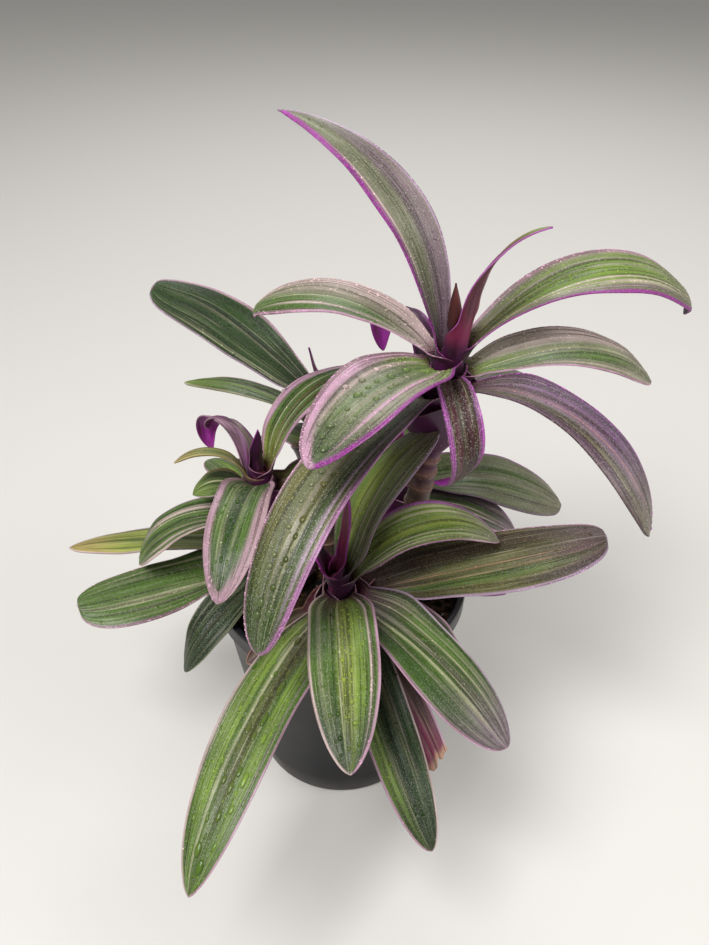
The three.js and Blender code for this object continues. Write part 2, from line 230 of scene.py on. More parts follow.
# Underside of a blade: smooth and dull, purple on most leaves, with darker clouds and faint lighter veins.
def makeUnderMaterial():
    material, add = newMaterial("smooth leaf underside", {
        "IOR": 1.45, "Sheen Weight": 0.12, "Sheen Roughness": 0.4})
    paint, place = add("underPaint"), add("bladePlace")
    veins = add("noise", add("stretch", place, (1, 0.02, 1)), 0.8, 2, 0.6)
    clouds = add("noise", add("stretch", place, (1, 0.3, 1)), 0.14, 3)
    darker = add("tint", 1, paint, linear("#9a7f86"))
    colour = add("blend", add("mask", clouds, 0.35, 0.65), paint, darker)
    colour = add("blend", add("mask", veins, 0.55, 0.7, 0, 0.16), colour, linear("#b9809a"))
    return finishMaterial(material, colour, add("mask", veins, 0.3, 0.7, 0.34, 0.48), veins, 0.6, 0.25)


# Spray water in beads too small to look into: each shows the skin under it, behind the gloss of water.
def makeWaterMaterial(name, roughness):
    # Its colour is the bead paint, with painted shade at the rim and painted light at the top.
    material, add = newMaterial(name, {"IOR": 1.333, "Roughness": roughness})
    setShader(material, {"Base Color": add("paint")})
    return material


# Black polypropylene from an injection mould: satin, with a fine spark-eroded grain and dusty low spots.
def makePotMaterial():
    material, add = newMaterial("moulded black polypropylene", {"IOR": 1.49})
    place = add("objectPlace")
    grain = add("noise", place, 2200)  # grain of about 0.45 mm
    smudge = add("noise", place, 28, 4, 0.6)
    runs = add("noise", add("stretch", place, (1, 1, 0.12)), 90, 3)
    foot = add("mask", add("height", place), 0.02, 0, 0, 0.25)  # in metres: the lowest 20 mm
    dust = add("plus", add("mask", smudge, 0.5, 0.75, 0, 0.3), foot)
    dust = add("multiply", dust, add("mask", runs, 0.3, 0.7, 0.4, 1))
    colour = add("blend", dust, linear("#17181b"), linear("#54493f"))
    return finishMaterial(material, colour, add("mask", smudge, 0.3, 0.7, 0.34, 0.52), grain, 0.35, 0.08)


# Potting mix: moist dark peat and composted bark, dull, with crumbs of many browns.
def makeSoilMaterial(name, darkColour, lightColour):
    material, add = newMaterial(name, {"IOR": 1.4})
    place = add("objectPlace")
    crumbs = add("noise", place, 260, 4, 0.7)
    patches = add("noise", place, 45)
    mixed = add("multiply", crumbs, add("mask", patches, 0.3, 0.7, 0.6, 1.4))
    colour = add("blend", add("mask", mixed, 0.35, 0.7), linear(darkColour), linear(lightColour))
    return finishMaterial(material, colour, add("mask", crumbs, 0.3, 0.7, 0.95, 0.7), crumbs, 0.9, 0.8)


# Fleshy stem: green to purple skin with brown leaf scars painted on the mesh.
def makeStemMaterial():
    material, add = newMaterial("fleshy stem skin", {"IOR": 1.45, "Sheen Weight": 0.1})
    place = add("objectPlace")
    streaks = add("noise", add("stretch", place, (1, 1, 0.1)), 900)
    specks = add("noise", place, 700)
    colour = add("blend", add("mask", streaks, 0.4, 0.7, 0, 0.5), add("paint"), linear("#5d3a48"))
    colour = add("blend", add("mask", specks, 0.62, 0.7, 0, 0.4), colour, linear("#a39a72"))
    return finishMaterial(material, colour, add("mask", streaks, 0.3, 0.7, 0.42, 0.6), streaks, 0.5, 0.3)


materials = {  # an upper side has the strength of its fine lines, its pale skin grain (partly painted sparkle) and its sheen
    "green": makeUpperMaterial("wet waxy leaf, green", 0.6, 0.22, 0.02),
    "striped": makeUpperMaterial("wet waxy leaf, striped", 0.7, 0.22, 0.02),
    "grey": makeUpperMaterial("wet waxy leaf, silvery", 0.45, 0.28, 0.08),
    "young": makeUpperMaterial("young rolled leaf", 0.12, 0.05, 0.04),
    "old": makeUpperMaterial("old dry leaf", 0.35, 0.05, 0.0),
    "under": makeUnderMaterial(),
    "mist": makeWaterMaterial("fine spray water", 0.25),
    "drops": makeWaterMaterial("clear spray water", 0.05),
    "stem": makeStemMaterial(),
    "pot": makePotMaterial(),
    "soil": makeSoilMaterial("moist potting mix", "#17110c", "#4a3524"),
    "crumbs": makeSoilMaterial("bark and peat crumbs", "#21160f", "#6d4c31"),
    "perlite": makeSoilMaterial("perlite grains", "#8f897c", "#dcd8cc"),
}
print("materials made", len(materials))


# The pot, 11.4 cm across its rim and 10.4 cm high; all in mm

pot = {
    "height": 104,
    "rimRadius": 57,
    "rimBand": 9,
    "rimStep": 1.6,
    "rounding": 0.9,
    "baseRadius": 40,
    "heelRounding": 1.5,
    "footBand": 12,  # the wall steps in here, all round
    "wall": 1.3,
    "insideRing": 60,  # height of a ring of points on the inner wall
    "floor": 1.8,
    "segments": 96,
    "drains": 6,
    "drainRadius": 3.5,
    "drainCircle": 30,
    "drainCutter": 10,
}


def potRadiusAt(height):
    return lerp(pot["baseRadius"], pot["rimRadius"] - pot["rimStep"], height / pot["height"])


# Follows a list of (radius, height) in mm, ring after ring, and closes the ends.
def turnProfile(profile, segments):
    deselect()
    radius, height = profile[0]
    bpy.ops.mesh.primitive_circle_add(vertices=segments, radius=radius * mm, fill_type="NGON",
                                      location=(0, 0, height * mm))
    piece = bpy.context.object
    bpy.ops.object.mode_set(mode="EDIT")
    bpy.ops.mesh.select_mode(type="FACE")
    bpy.ops.mesh.select_all(action="SELECT")
    for nextRadius, nextHeight in profile[1:]:
        step = (0, 0, (nextHeight - height) * mm)
        bpy.ops.mesh.extrude_region_move(TRANSFORM_OT_translate={"value": step})
        scale = nextRadius / radius
        bpy.ops.transform.resize(value=(scale, scale, 1), center_override=(0, 0, nextHeight * mm))
        radius, height = nextRadius, nextHeight
    bpy.ops.mesh.select_all(action="SELECT")
    bpy.ops.mesh.normals_make_consistent(inside=False)
    bpy.ops.object.mode_set(mode="OBJECT")
    bpy.ops.object.transform_apply(location=True, rotation=True, scale=True)
    return piece


def makePot():
    height, base, rim = pot["height"], pot["baseRadius"], pot["rimRadius"]
    wall, floor, soft, heel = pot["wall"], pot["floor"], pot["rounding"], pot["heelRounding"]
    band, step, inner = height - pot["rimBand"], pot["footBand"], rim - pot["rimStep"] - wall
    profile = [
        (base - heel, 0), (base - 0.4, 0.5), (base + 0.1, heel),
        (potRadiusAt(step) + 0.1, step), (potRadiusAt(step + 1) - 0.4, step + 1),
        (potRadiusAt(band) - 0.1, band - 0.3), (rim - 0.9, band), (rim - 0.5, band + 0.4),
        (rim - 0.1, height - 2.4), (rim, height - soft), (rim - 0.25, height - 0.25), (rim - soft, height),
        (inner + soft, height), (inner + 0.25, height - 0.25), (inner, height - soft),
        (potRadiusAt(pot["insideRing"]) - wall, pot["insideRing"]),
        (potRadiusAt(floor) - wall, floor + 1), (potRadiusAt(floor) - wall - 1, floor),
    ]
    piece = turnProfile(profile, pot["segments"])
    for number in range(pot["drains"]):
        angle, reach = number / pot["drains"] * 2 * math.pi, pot["drainCircle"] * mm
        place = (reach * math.cos(angle), reach * math.sin(angle), 0)
        deselect()
        bpy.ops.mesh.primitive_cylinder_add(vertices=24, radius=pot["drainRadius"] * mm,
                                            depth=pot["drainCutter"] * mm, location=place)
        drain = bpy.context.object
        selectOnly(piece)
        cut = piece.modifiers.new("drain", "BOOLEAN")
        cut.operation = "DIFFERENCE"
        cut.object = drain
        bpy.ops.object.modifier_apply(modifier=cut.name)
        bpy.data.objects.remove(drain)
    bpy.ops.object.shade_smooth_by_angle(angle=math.radians(38))
    piece.data.materials.append(materials["pot"])
    finishPiece(piece, "nurseryPot", "pot")


makePot()
print("pot made")


# The shoots: where each stem leaves the soil, its crown, and its leaves from the youngest down.

soil = {"top": 90, "crown": 2.5}  # mm: the height of the mix at its edge, and how much its middle adds

# What a leaf has where its row says nothing else.
usualLeaf = dict(
    bend=1.4,  # power of its droop: higher keeps the base straighter
    sweep=0, roll=0, hook=0,  # degrees: sideways turn, twist and a bent end
    taper=0.5, tipPower=0.65, widest=0.3, slant=0, torn=False,  # outline
    crinkle=1, ribs=0.09, clasp=1,  # relief, and how far up it clasps the stem
    wet=0.5, beads=0, drops=[], smear=1,  # mist, beads per square mm, rows of large ones and their stretch
)
usualPaint = {
    "green": dict(paint="grass olive grass", under="plum", rims=("shell", 0.9, "shell", 0.9),
                  stripes=[(0.35, 0.05, "silver"), (-0.45, 0.06, "sage"), (0, 0.2, "spring")]),
    "striped": dict(paint="grass lime sage", under="plum", rims=("shell", 1.2, "shell", 1.2),
                    stripes=[(0.4, 0.08, "cream"), (-0.3, 0.05, "blush"), (0, 0.1, "spring")]),
    "grey": dict(paint="silver heath sage", under="plum", rims=("orchid", 1.4, "lilac", 1.2),
                 stripes=[(0.4, 0.1, "sage"), (-0.3, 0.07, "blush")]),
    "young": dict(paint="crimson plum crimson", under="crimson", rims=("magenta", 0.8, "magenta", 0.8),
                  stripes=[]),
    "old": dict(paint="rust umber tan", under="brown", rims=("tan", 0.8, "tan", 0.8),
                stripes=[(0.2, 0.2, "straw"), (-0.4, 0.2, "umber")]),
}


# A leaf sits "drop" mm below the crown, points to "azimuth", rises at "rise" degrees and droops by "droop"
# degrees. Its paint is for body, base and tip. Its rims, left and right, have a pigment and a width in mm.
# A stripe has a place, a half width and a pigment; a row of drops has a place, a count and the least and
# largest radius in mm. Seen from the base, a place runs from -1 at the left margin to 1 at the right.
# Its base and tip colours are partly the leaf's own and partly painted shade, near the crown and on tips
# turned away from the light.
def grow(kind, drop, azimuth, rise, droop, length, width, **more):
    shape = dict(kind=kind, drop=drop, azimuth=azimuth, rise=rise, droop=droop, length=length, width=width)
    return {**usualLeaf, **usualPaint[kind], **shape, **more}


shoots = {}
shoots["tall"] = dict(foot=(24, -2), crown=(44, -8), height=137, leaves=[
    grow("young", 0, -110, 84, 4, 28, 6, taper=0.2, tipPower=1, paint="rust crimson rust", under="rust",
        rims=("rust", 0.5, "rust", 0.5)),
    grow("young", 6, -35, 84, 84, 68, 13, bend=3, sweep=45, roll=-13, taper=0.2, tipPower=0.8,
        paint="ruby ruby spring", under="ruby", underTip="spring", rims=("crimson", 0.6, "orchid", 0.5),
        crinkle=2.2, clasp=2.1),
    grow("grey", 15, -125, 23, 52, 90, 31, bend=1.6, paint="silver spring pine",
        rims=("magenta", 2.6, "shell", 4.2), wet=1, beads=0.3, stripes=[(-0.45, 0.06, "shell"),
        (0.42, 0.1, "sage"), (0.2, 0.14, "grass"), (-0.2, 0.12, "grass"), (0.56, 0.05, "blush")],
        drops=[(0.22, 9, 0.8, 1.7), (-0.12, 8, 0.7, 1.4), (-0.5, 9, 0.5, 1), (0.5, 8, 0.7, 1.3),
        (0.04, 6, 0.4, 0.8)]),
    grow("grey", 11, 150, 89, 84, 121, 21, bend=1.25, roll=-20, taper=0.3, tipPower=0.85,
        paint="silver heath sage", rims=("magenta", 2.6, "lilac", 0.9), wet=1, beads=0.28,
        stripes=[(-0.62, 0.07, "blush"), (0.6, 0.3, "heath"), (-0.15, 0.3, "sage")]),
    grow("green", 9, 18, 46.5, 104, 122, 24, roll=20, hook=60, tipPower=0.5, widest=0.5,
        paint="spring olive silver", rims=("shell", 2.6, "magenta", 1.4), wet=1, beads=0.28,
        stripes=[(-0.68, 0.1, "silver"), (-0.4, 0.1, "silver"), (0.42, 0.035, "blush"),
        (0.58, 0.05, "blush"), (0.76, 0.1, "heath"), (-0.12, 0.03, "silver")]),
    grow("grey", 17, -90, 34, 205, 72, 14, bend=1.35, sweep=60, paint="brown brown umber", under="magenta",
        rims=("orchid", 2.2, "orchid", 2.2), beads=0.3, stripes=[(0.02, 0.04, "silver"), (0.3, 0.2, "wine"),
        (-0.34, 0.15, "wine")]),
    grow("grey", 13, 170, 45, 90, 87, 22, bend=1.7, roll=-10, hook=50, paint="grass blush grass",
        rims=("shell", 1.2, "blush", 3.2), wet=1, beads=0.3, stripes=[(0.55, 0.42, "blush"),
        (0.36, 0.03, "sage"), (0.1, 0.16, "silver"), (-0.1, 0.04, "cream"), (-0.56, 0.06, "blush")]),
    grow("green", 20, 10, 19, 74, 90, 24, bend=1.9, roll=14, tipPower=0.5, paint="sage spring silver",
        rims=("blush", 1.7, "shell", 0.8), wet=1, beads=0.22, stripes=[(-0.62, 0.32, "blush"),
        (0, 0.05, "cream"), (0.35, 0.2, "grass"), (0.8, 0.04, "blush")]),
    grow("young", 30, 117, 90, 215, 80, 14, bend=1.35, roll=30, paint="plum plum plum", under="magenta",
        rims=("magenta", 1.2, "magenta", 1.2)),
    grow("grey", 23, -42, 33, 116, 110, 21.5, sweep=6, paint="thistle umber silver",
        rims=("orchid", 0.9, "umber", 0.8), wet=1, beads=0.32, stripes=[(0.14, 0.035, "tan"),
        (0.3, 0.03, "silver"), (0.55, 0.2, "olive"), (0.75, 0.14, "umber"), (-0.15, 0.12, "umber")]),
    grow("grey", 26, -131, 4, 75, 132, 25, bend=1.6, sweep=20, tipPower=0.5, paint="olive sage pine",
        rims=("mauve", 2.1, "shell", 0.8), wet=1, beads=0.26, stripes=[(-0.6, 0.07, "lilac"),
        (-0.4, 0.14, "pine"), (0.08, 0.07, "silver"), (-0.18, 0.03, "cream"), (0.4, 0.2, "sage")],
        drops=[(0.3, 12, 0.9, 1.6), (-0.05, 10, 0.8, 1.4), (0.6, 9, 0.6, 1), (0.12, 8, 0.4, 0.8)]),
    grow("green", 37, 80, -5, 50, 90, 24),
    grow("old", 38, -165, 10, 50, 26, 15, paint="wine plum tan", under="plum"),
    grow("grey", 33, 47, 8, 72, 72, 25),
])
shoots["front"] = dict(foot=(3, -22), crown=(-1, -40), height=49, leaves=[
    grow("young", 0, 30, 87, 4, 40, 8, taper=0.2, tipPower=0.8, paint="crimson plum crimson",
        under="crimson"),
    grow("young", 3, 165, 84, 20, 24, 12, taper=0.2, tipPower=0.8, paint="plum plum umber", under="plum"),
    grow("striped", 11, 10, 69, 120, 79, 20, bend=1.2, roll=18, paint="spring spring silver", under="plum",
        rims=("orchid", 1, "shell", 0.9), beads=0.16, stripes=[(0.28, 0.04, "cream"), (0.52, 0.045, "cream"),
        (0.74, 0.05, "blush"), (-0.62, 0.045, "cream"), (-0.78, 0.04, "cream"), (-0.15, 0.18, "lime"),
        (0.4, 0.04, "grass")]),
    grow("striped", 6, 29, 80, 62, 77, 25, bend=1.6, tipPower=0.5, paint="spring grass silver",
        rims=("heath", 0.8, "lilac", 1.3), wet=1, beads=0.26, stripes=[(0.3, 0.035, "cream"),
        (0.68, 0.28, "silver"), (-0.3, 0.2, "lime"), (0, 0.04, "blush")]),
    grow("striped", 14, -87, 35, 70, 98, 26.5, bend=1.2, paint="grass brown night",
        rims=("shell", 1.1, "blush", 1), wet=1, beads=0.26, ribs=0.2, stripes=[(-0.72, 0.04, "blush"),
        (-0.1, 0.3, "lime"), (0.15, 0.03, "cream"), (-0.4, 0.2, "spring"), (0.7, 0.05, "sage")],
        drops=[(-0.22, 11, 0.6, 1.1), (0.02, 10, 0.5, 1), (0.3, 9, 0.5, 0.95), (-0.5, 8, 0.5, 0.9),
        (0.55, 8, 0.45, 0.8)]),
    grow("striped", 18, -46, 15, 58, 94, 29, bend=1.2, tipPower=0.5, paint="grass umber heath",
        rims=("lilac", 0.9, "shell", 0.7), wet=1, beads=0.2, stripes=[(0, 0.09, "silver"),
        (0.26, 0.03, "cream"), (0.5, 0.03, "silver"), (-0.3, 0.03, "cream"), (-0.55, 0.035, "silver"),
        (-0.76, 0.1, "pine"), (0.7, 0.15, "pine")]),
    grow("green", 24, 4, 14, 2, 108, 30, roll=18, tipPower=0.35, paint="olive brown umber",
        rims=("shell", 0.6, "lilac", 0.9), wet=1, beads=0.18, stripes=[(-0.6, 0.35, "brown"),
        (0.08, 0.02, "tan"), (0.3, 0.02, "tan"), (0.45, 0.14, "grass")]),
    grow("striped", 22, -114, 5, 50, 131, 25.5, bend=1.5, paint="grass brown grass",
        rims=("shell", 0.9, "blush", 0.6), wet=1, beads=0.22, smear=2.4, stripes=[(0.36, 0.04, "cream"),
        (0.66, 0.2, "spring"), (0.1, 0.2, "olive"), (-0.4, 0.2, "spring"), (-0.72, 0.04, "silver")],
        drops=[(0.28, 7, 0.7, 1.3), (-0.1, 9, 0.7, 1.3), (-0.4, 7, 0.5, 1)]),
    grow("green", 29, -22, 6, 56, 55, 18, paint="night night pine", rims=("shell", 1.1, "sage", 0.8),
        stripes=[(0.2, 0.04, "silver"), (-0.3, 0.04, "silver")]),
    grow("green", 28, 60, 10, 40, 28, 18),
    grow("striped", 30, -73, -5, 45, 103, 21, sweep=12, tipPower=0.55, paint="pine pine night",
        rims=("blush", 0.7, "shell", 0.8), beads=0.16, stripes=[(0.66, 0.3, "spring"),
        (0.36, 0.035, "silver"), (-0.45, 0.03, "silver"), (-0.1, 0.2, "pine")]),
    grow("green", 33, 6, 14, 36, 66, 9, paint="umber pine heath", rims=("orchid", 0.8, "orchid", 0.8)),
    grow("old", 35, -60, -12, 30, 76, 18, tipPower=0.1, paint="wine plum ruby", under="plum",
        rims=("shell", 1, "lilac", 1.1), torn=True, stripes=[(0.1, 0.1, "ruby"), (-0.5, 0.14, "brown"),
        (0.6, 0.16, "brown")]),
    grow("old", 34, -145, 5, 30, 42, 18, paint="brown brown umber", under="brown"),
])
shoots["left"] = dict(foot=(-24, 8), crown=(-36, 12), height=66, leaves=[
    grow("young", 0, -60, 84, 4, 22, 6, taper=0.2, tipPower=0.8, paint="plum plum crimson", under="plum"),
    grow("young", 6, 175, 88, 210, 46, 11, bend=4, roll=30, paint="plum plum magenta", under="magenta",
        rims=("shell", 0.8, "magenta", 0.5)),
    grow("striped", 9, 21, 85, 100, 76, 23, paint="grass lime pine", rims=("shell", 2.8, "shell", 3),
        beads=0.16, stripes=[(0.35, 0.04, "rust"), (0.1, 0.03, "cream"), (-0.12, 0.04, "rust"),
        (-0.4, 0.04, "cream")]),
    grow("striped", 12, -99, 48, 104, 82, 23.5, bend=1.1, paint="grass pine pine",
        rims=("rose", 4, "rose", 4.3), wet=1, beads=0.26, smear=1.8, stripes=[(0, 0.12, "pine"),
        (0.22, 0.025, "cream"), (-0.2, 0.025, "silver")], drops=[(0.05, 9, 0.5, 0.9), (-0.15, 5, 0.4, 0.7)]),
    grow("young", 14, 135, 88, 225, 66, 13, bend=1.7, roll=30, paint="shell shell magenta", under="magenta",
        rims=("shell", 1, "orchid", 0.6), stripes=[(0.5, 0.4, "sage")]),
    grow("striped", 10, 201, 84, 116, 46, 7, paint="lime lime straw", under="straw",
        rims=("straw", 0.8, "straw", 0.7)),
    grow("striped", 19, 10, 34, 50, 46, 18),
    grow("green", 19, 200, 78, 118, 34, 20, paint="grass grass spring", under="lime",
        rims=("shell", 0.5, "straw", 0.8), stripes=[(0.2, 0.05, "cream"), (-0.3, 0.1, "spring")]),
    grow("striped", 30, 196, 27, 106, 66, 23, bend=1.6, paint="grass pine grass",
        rims=("blush", 1, "lilac", 0.6), wet=1, beads=0.2, stripes=[(0.5, 0.13, "blush"),
        (0.76, 0.07, "pine"), (-0.72, 0.06, "blush"), (0.24, 0.035, "cream"), (-0.2, 0.04, "pine"),
        (-0.45, 0.04, "silver")]),
    grow("green", 28, 125, 10, 40, 55, 22),
    grow("green", 45, 182, 4, 12, 86, 18, paint="lime grass straw", under="sage",
        rims=("blush", 0.9, "lilac", 0.6), stripes=[(0.1, 0.08, "grass"), (-0.4, 0.06, "spring")]),
    grow("green", 55, 200, 2, 5, 82, 29, roll=-14, tipPower=0.3, paint="grass pine grass",
        rims=("shell", 0.9, "blush", 0.6), wet=1, beads=0.22, stripes=[(0.68, 0.035, "cream"),
        (0.42, 0.03, "silver"), (-0.4, 0.08, "cream"), (-0.62, 0.03, "silver"), (0.08, 0.2, "grass")]),
    grow("green", 54, 240, 7, 84, 66, 20, bend=1.9, sweep=-34, paint="night night night",
        rims=("sage", 0.5, "sage", 0.5), stripes=[(0.3, 0.04, "pine"), (-0.3, 0.04, "pine")]),
])
shoots["back"] = dict(foot=(-8, 30), crown=(-6, 42), height=86, leaves=[
    grow("young", 0, 180, 80, 4, 22, 5, taper=0.2, tipPower=0.8),
    grow("green", 8, 40, 8, 40, 66, 22),
    grow("green", 10, 176, 42, 2, 91, 29, bend=2.2, roll=-22, tipPower=0.35, slant=-0.4,
        paint="pine night pine", rims=("lilac", 0.9, "shell", 0.8), wet=1, beads=0.16,
        stripes=[(-0.6, 0.025, "cream"), (-0.72, 0.025, "cream"), (0.3, 0.025, "silver"),
        (-0.1, 0.25, "pine")]),
    grow("green", 21, 165, 33, 52, 68, 12.5, paint="grass grass spring", rims=("cream", 1, "blush", 0.7)),
    grow("green", 30, 100, 0, 40, 90, 24),
    grow("green", 40, 48, -5, 40, 85, 22),
    grow("green", 40, 125, -10, 35, 62, 22),
])
shoots["right"] = dict(foot=(22, 20), crown=(24, 25), height=50, leaves=[
    grow("young", 0, 60, 86, 4, 32, 6, taper=0.2, tipPower=0.8),
    grow("green", 10, 8, 12, 58, 87, 28, bend=1.3, roll=22, tipPower=0.45, paint="sage grass silver",
        rims=("orchid", 0.7, "heath", 0.7), wet=1, beads=0.14, stripes=[(-0.3, 0.12, "grass"),
        (0.3, 0.12, "grass"), (0, 0.04, "silver"), (0.6, 0.05, "silver")]),
    grow("striped", 16, -14, 16, 66, 60, 22, bend=1.6, paint="grass pine heath",
        rims=("orchid", 1.3, "shell", 0.8), beads=0.14, stripes=[(-0.5, 0.45, "heath"), (0.3, 0.04, "blush"),
        (0.55, 0.04, "blush")]),
    grow("green", 22, 65, 5, 50, 80, 22),
    grow("striped", 15, 96, 48, 96, 88, 24),
])

stem = {
    "tipRadius": 2.2,
    "widening": 0.22,  # mm of radius per mm below the crown
    "bareRadius": 5.4,
    "buried": 22,
    "belowLowestLeaf": 2,
    "taperLength": 9,
    "sides": 24,
    "lumps": 0.08,  # of the radius
    "firstScar": 4,
    "scarSpacing": (6.5, 3.5),  # the least, and what chance adds
    "scarFree": 6,  # mm below the lowest leaves
    "turning": 40,  # mm over which green turns to purple, up to them
    "crimson": (16, 6),  # mm below the crown, where purple turns to crimson
}


def stemLine(shoot):
    foot = Vector((*shoot["foot"], soil["top"]))
    crown = Vector((*shoot["crown"], soil["top"] + shoot["height"]))
    return foot, crown, (crown - foot).normalized()


# A stem thickens downwards and carries a raised scar wherever a leaf has dropped off.
def makeStem(name, shoot):
    foot, crown, direction = stemLine(shoot)
    lowest = max(leaf["drop"] for leaf in shoot["leaves"]) + stem["belowLowestLeaf"]
    total = (crown - foot).length + stem["buried"]
    bare, tip, bareTop = stem["bareRadius"], stem["tipRadius"], total - lowest - stem["taperLength"]
    profile = [(bare - 0.6, 0), (bare - 0.2, 0.6)]
    scars = []
    height = stem["firstScar"]
    while height < bareTop - stem["scarFree"]:
        top = height + stem["scarSpacing"][0] + stem["scarSpacing"][1] * draw.random()
        radius = bare - 0.45 + 0.3 * draw.random()
        profile += [(radius, height), (radius - 0.15, (height + top) / 2), (radius + 0.15, top - 1.3),
                    (radius + 0.6, top - 0.7), (radius + 0.5, top - 0.3), (radius + 0.05, top - 0.1)]
        scars.append(top - 0.6)
        height = top
    profile += [(bare - 0.3, bareTop - 1)]
    profile += [(tip + stem["widening"] * depth, total - depth) for depth in (lowest, lowest / 2)]
    profile += [(tip, total - 0.8), (tip / 2, total - 0.1)]
    piece = turnProfile(profile, stem["sides"])
    places = placesOf(piece) / mm
    around = (np.arctan2(places[:, 1], places[:, 0]) / math.pi + 1) / 2
    lumps = softNoise(around, places[:, 2] / total, (5, 16), 5)
    places[:, :2] *= (1 - stem["lumps"] / 2 + stem["lumps"] * lumps)[:, None]
    piece.data.vertices.foreach_set("co", (places * mm).ravel())
    up = places[:, 2:]
    # Up the stem the skin turns purple, then crimson at the crown: partly the stem's own colour and partly
    # painted shade among the leaf bases.
    purple, (low, high) = smooth(bareTop - stem["turning"], bareTop, up), stem["crimson"]
    colours = lerp(pigment("olive") * 0.6, pigment("plum"), purple)
    colours = lerp(colours, pigment("crimson"), smooth(total - low, total - high, up))
    for scar in scars:
        colours = lerp(colours, pigment("tan") * 0.8, np.exp(-((up - scar) / 0.8) ** 2) * 0.85)
    giveColours(piece, "bladePaint", colours)
    piece.data.transform(upward.rotation_difference(direction).to_matrix().to_4x4())
    piece.data.transform(Matrix.Translation((foot - direction * stem["buried"]) * mm))
    selectOnly(piece)
    bpy.ops.object.shade_smooth_by_angle(angle=math.radians(50))
    piece.data.materials.append(materials["stem"])
    finishPiece(piece, name + "Stem", name + "_stem")


for name, shoot in shoots.items():
    makeStem(name, shoot)
print("stems made")


# The leaves, in mm and degrees. What ends in From, To or At is a share of the blade's length.

blade = {
    "rows": 56,
    "columns": 44,
    "steps": 60,
    "midrib": 1.0,  # as thick as the solid's
    "gap": 0.3,
    "visibleThickness": 0.85,
    "marginShare": 0.55,  # of the thickness
    "sheathLength": 9,
    "sheathPitch": 80,
    "sheathOpening": 1.6,  # lengths of the sheath over which the blade turns outwards
    "sheathWidth": 0.42,  # of the blade's width
    "claspAngle": 2.3,  # this angle and the folds are half the arc across the blade, in radians
    "channelFold": 0.5,
    "curlFold": -0.28,
    "largestFold": 1.15,
    "curlFrom": 0.25,
    "curlTo": 0.9,
    "openedAt": 0.3,
    "rollFrom": 0.05,
    "rollTo": 0.6,
    "taperPower": 2.4,
    "tipWidth": 0.5,
    "slantFrom": 0.55,
    "hookFrom": 0.93,
    "groove": 0.3,  # depth along the middle
    "grooveWidth": 1.3,
    "ribRate": 1.9,  # radians of rib per mm across
    "waves": 1,
    "dents": 0.8,
}


# The middle line of a blade, step by step: place, and the directions across it and out of its upper side.
def bladeFrames(shoot, leaf):
    _, crown, direction = stemLine(shoot)
    sheathShare = blade["sheathLength"] / leaf["length"]
    radius = stem["tipRadius"] + stem["widening"] * leaf["drop"] + blade["gap"] + blade["midrib"] / 2
    place, frames = None, []
    for step in range(blade["steps"] + 1):
        share = step / blade["steps"]
        up = direction.lerp(upward, smooth(0, sheathShare, share)).normalized()
        turn = math.radians(leaf["azimuth"] + leaf["sweep"] * share ** 2)
        out = Vector((math.cos(turn), math.sin(turn), 0))
        out = (out - up * out.dot(up)).normalized()
        opened = smooth(0, sheathShare * blade["sheathOpening"], share)
        rise = lerp(max(blade["sheathPitch"], leaf["rise"]), leaf["rise"], opened)
        hook = leaf["hook"] * smooth(blade["hookFrom"], 1, share)
        pitch = math.radians(rise - leaf["droop"] * share ** leaf["bend"] - hook)
        along = out * math.cos(pitch) + up * math.sin(pitch)
        normal = up * math.cos(pitch) - out * math.sin(pitch)
        roll = math.radians(leaf["roll"]) * smooth(blade["rollFrom"], blade["rollTo"], share)
        normal = Quaternion(along, roll) @ normal
        if place is None:
            place = crown - direction * leaf["drop"] + out * radius
        else:
            place = place + along * (leaf["length"] / blade["steps"])
        across = along.cross(normal)
        aside = leaf["slant"] * leaf["width"] / 2 * smooth(blade["slantFrom"], 1, share) ** 2
        frames.append([*(place + across * aside), *across, *normal])
    return np.array(frames), radius


def widthAt(leaf, share):
    swell = lerp(blade["sheathWidth"], 1, smooth(0, leaf["widest"], share))
    towardsTip = np.clip((share - leaf["taper"]) / (1 - leaf["taper"]), 0, 1)
    taper = (1 - towardsTip ** blade["taperPower"]) ** leaf["tipPower"]
    return np.maximum(blade["tipWidth"], leaf["width"] * swell * taper)


def foldAt(leaf, share, radius):
    sheathFold = min(blade["largestFold"], float(widthAt(leaf, 0)) / (2 * radius))
    curled = smooth(blade["curlFrom"], blade["curlTo"], share)
    openFold = lerp(blade["channelFold"], blade["curlFold"], curled)
    fold = lerp(sheathFold, openFold, smooth(0, blade["openedAt"], share))
    return np.where(np.abs(fold) < 0.001, 0.001, fold)


# How far a point belongs to the sheath: 1 at the leaf's foot and 0 on the open blade.
def sheathOf(leaf, share, low, high, length=1):
    return 1 - smooth(low, high, share * leaf["length"] / (blade["sheathLength"] * length))


